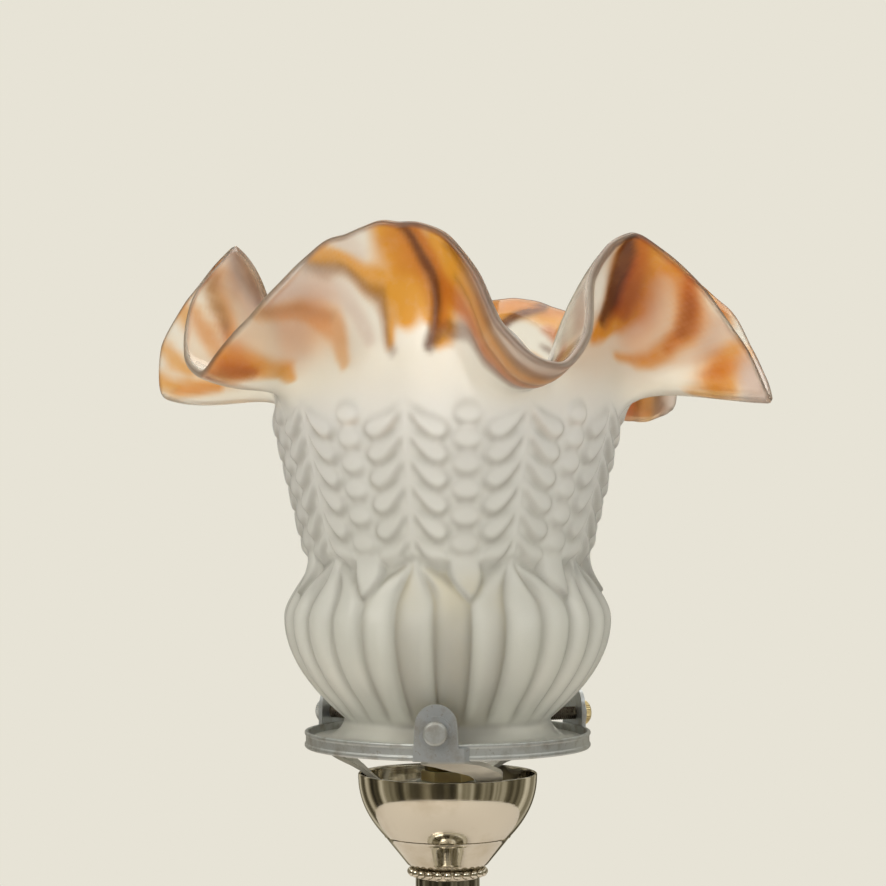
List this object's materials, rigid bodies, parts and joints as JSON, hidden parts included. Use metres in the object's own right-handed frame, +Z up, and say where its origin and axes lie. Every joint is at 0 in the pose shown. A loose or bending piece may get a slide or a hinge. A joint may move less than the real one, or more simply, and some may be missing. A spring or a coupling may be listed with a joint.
{
  "type": "table lamp",
  "caption": "Table lamp with a ruffled frosted glass tulip shade held by thumb screws in a plated gallery, on a spun cup, a slim column and a weighted round base.",
  "frame": {"origin": "middle of the felt's underside, on the table", "axes": "+Z up along the column; the front, with one thumb screw facing it, is -Y; the flex inlet is at the back, +Y"},
  "size_m": [0.1871, 0.1736, 0.4129],
  "materials": {
    "satin_glass": "acid-frosted outside, glossy inside, with amber run into the ruffle",
    "opal_glass": "opal white, smooth",
    "clear_glass": "clear",
    "black_glass": "black vitrite, glossy",
    "dull_plate": "dull plated, handled and slightly worn",
    "nickel_plate": "polished warm nickel plate",
    "dark_steel": "aged, dark",
    "bright_steel": "zinc-plated",
    "worn_brass": "worn, satin",
    "holder_brass": "polished",
    "solder": "tinned",
    "filament_wire": "drawn",
    "porcelain": "glazed",
    "ballast_iron": "as cast, painted black",
    "green_felt": "wool felt",
    "black_plastic": "moulded"
  },
  "bodies": {
    "lamp": {"glass_shade": "satin_glass", "gallery_hoop": "dull_plate", "gallery_spider": "dull_plate", "lampholder_cap": "holder_brass", "lampholder_barrel": "holder_brass", "lampholder_ring": "holder_brass", "lampholder_core": "porcelain", "plunger_springs": "bright_steel", "terminal_screws": "worn_brass", "hub_washer": "bright_steel", "hub_nut": "worn_brass", "spacer_tube": "worn_brass", "cup": "nickel_plate", "beaded_collar": "nickel_plate", "column_tube": "nickel_plate", "threaded_rod": "bright_steel", "foot_collar": "nickel_plate", "base_shell": "nickel_plate", "ballast": "ballast_iron", "base_washer": "bright_steel", "base_nut": "bright_steel", "base_plate": "bright_steel", "plate_screws": "bright_steel", "felt_pad": "green_felt", "inlet_bush": "black_plastic", "inlet_nut": "black_plastic", "earth_screw": "worn_brass"},
    "front_screw": {"front_screw_shank": "dark_steel"},
    "front_screw_grip": {"front_screw_head": "dull_plate"},
    "right_screw": {"right_screw_shank": "dark_steel"},
    "right_screw_grip": {"right_screw_head": "worn_brass"},
    "left_screw": {"left_screw_shank": "dark_steel"},
    "left_screw_grip": {"left_screw_head": "dull_plate"},
    "plungers": {"contact_plungers": "worn_brass"},
    "bulb": {"bulb_glass": "opal_glass", "bulb_cap": "worn_brass", "bulb_insulator": "black_glass", "bulb_contacts": "solder", "bulb_stem": "clear_glass", "bulb_filament": "filament_wire"}
  },
  "joints": [
    {"name": "front_screw_travel", "type": "slide", "parent": "lamp", "child": "front_screw", "axis": [-0.0785, -0.9969, 0], "range_m": [0, 0.01]},
    {"name": "front_screw_turn", "type": "hinge", "parent": "front_screw", "child": "front_screw_grip", "pos_m": [0, 0, 0.2669], "axis": [-0.0785, -0.9969, 0], "range_deg": [0, 5143]},
    {"name": "right_screw_travel", "type": "slide", "parent": "lamp", "child": "right_screw", "axis": [0.9026, 0.4305, 0], "range_m": [0, 0.01]},
    {"name": "right_screw_turn", "type": "hinge", "parent": "right_screw", "child": "right_screw_grip", "pos_m": [0, 0, 0.2669], "axis": [0.9026, 0.4305, 0], "range_deg": [0, 5143]},
    {"name": "left_screw_travel", "type": "slide", "parent": "lamp", "child": "left_screw", "axis": [-0.8241, 0.5664, 0], "range_m": [0, 0.01]},
    {"name": "left_screw_turn", "type": "hinge", "parent": "left_screw", "child": "left_screw_grip", "pos_m": [0, 0, 0.2669], "axis": [-0.8241, 0.5664, 0], "range_deg": [0, 5143]},
    {"name": "bulb_press", "type": "slide", "parent": "lamp", "child": "plungers", "axis": [0, 0, -1], "range_m": [0, 0.0015], "stiffness_N_per_m": 2000, "springref_m": -0.004, "deforming": ["plunger_springs"]},
    {"name": "bulb_turn", "type": "hinge", "parent": "plungers", "child": "bulb", "pos_m": [0, 0, 0.283], "axis": [0, 0, 1], "range_deg": [0, 20]}
  ],
  "couplings": [
    {"joint": "front_screw_turn", "follows": "front_screw_travel", "rad_per_m": 8976},
    {"joint": "right_screw_turn", "follows": "right_screw_travel", "rad_per_m": 8976},
    {"joint": "left_screw_turn", "follows": "left_screw_travel", "rad_per_m": 8976}
  ]
}
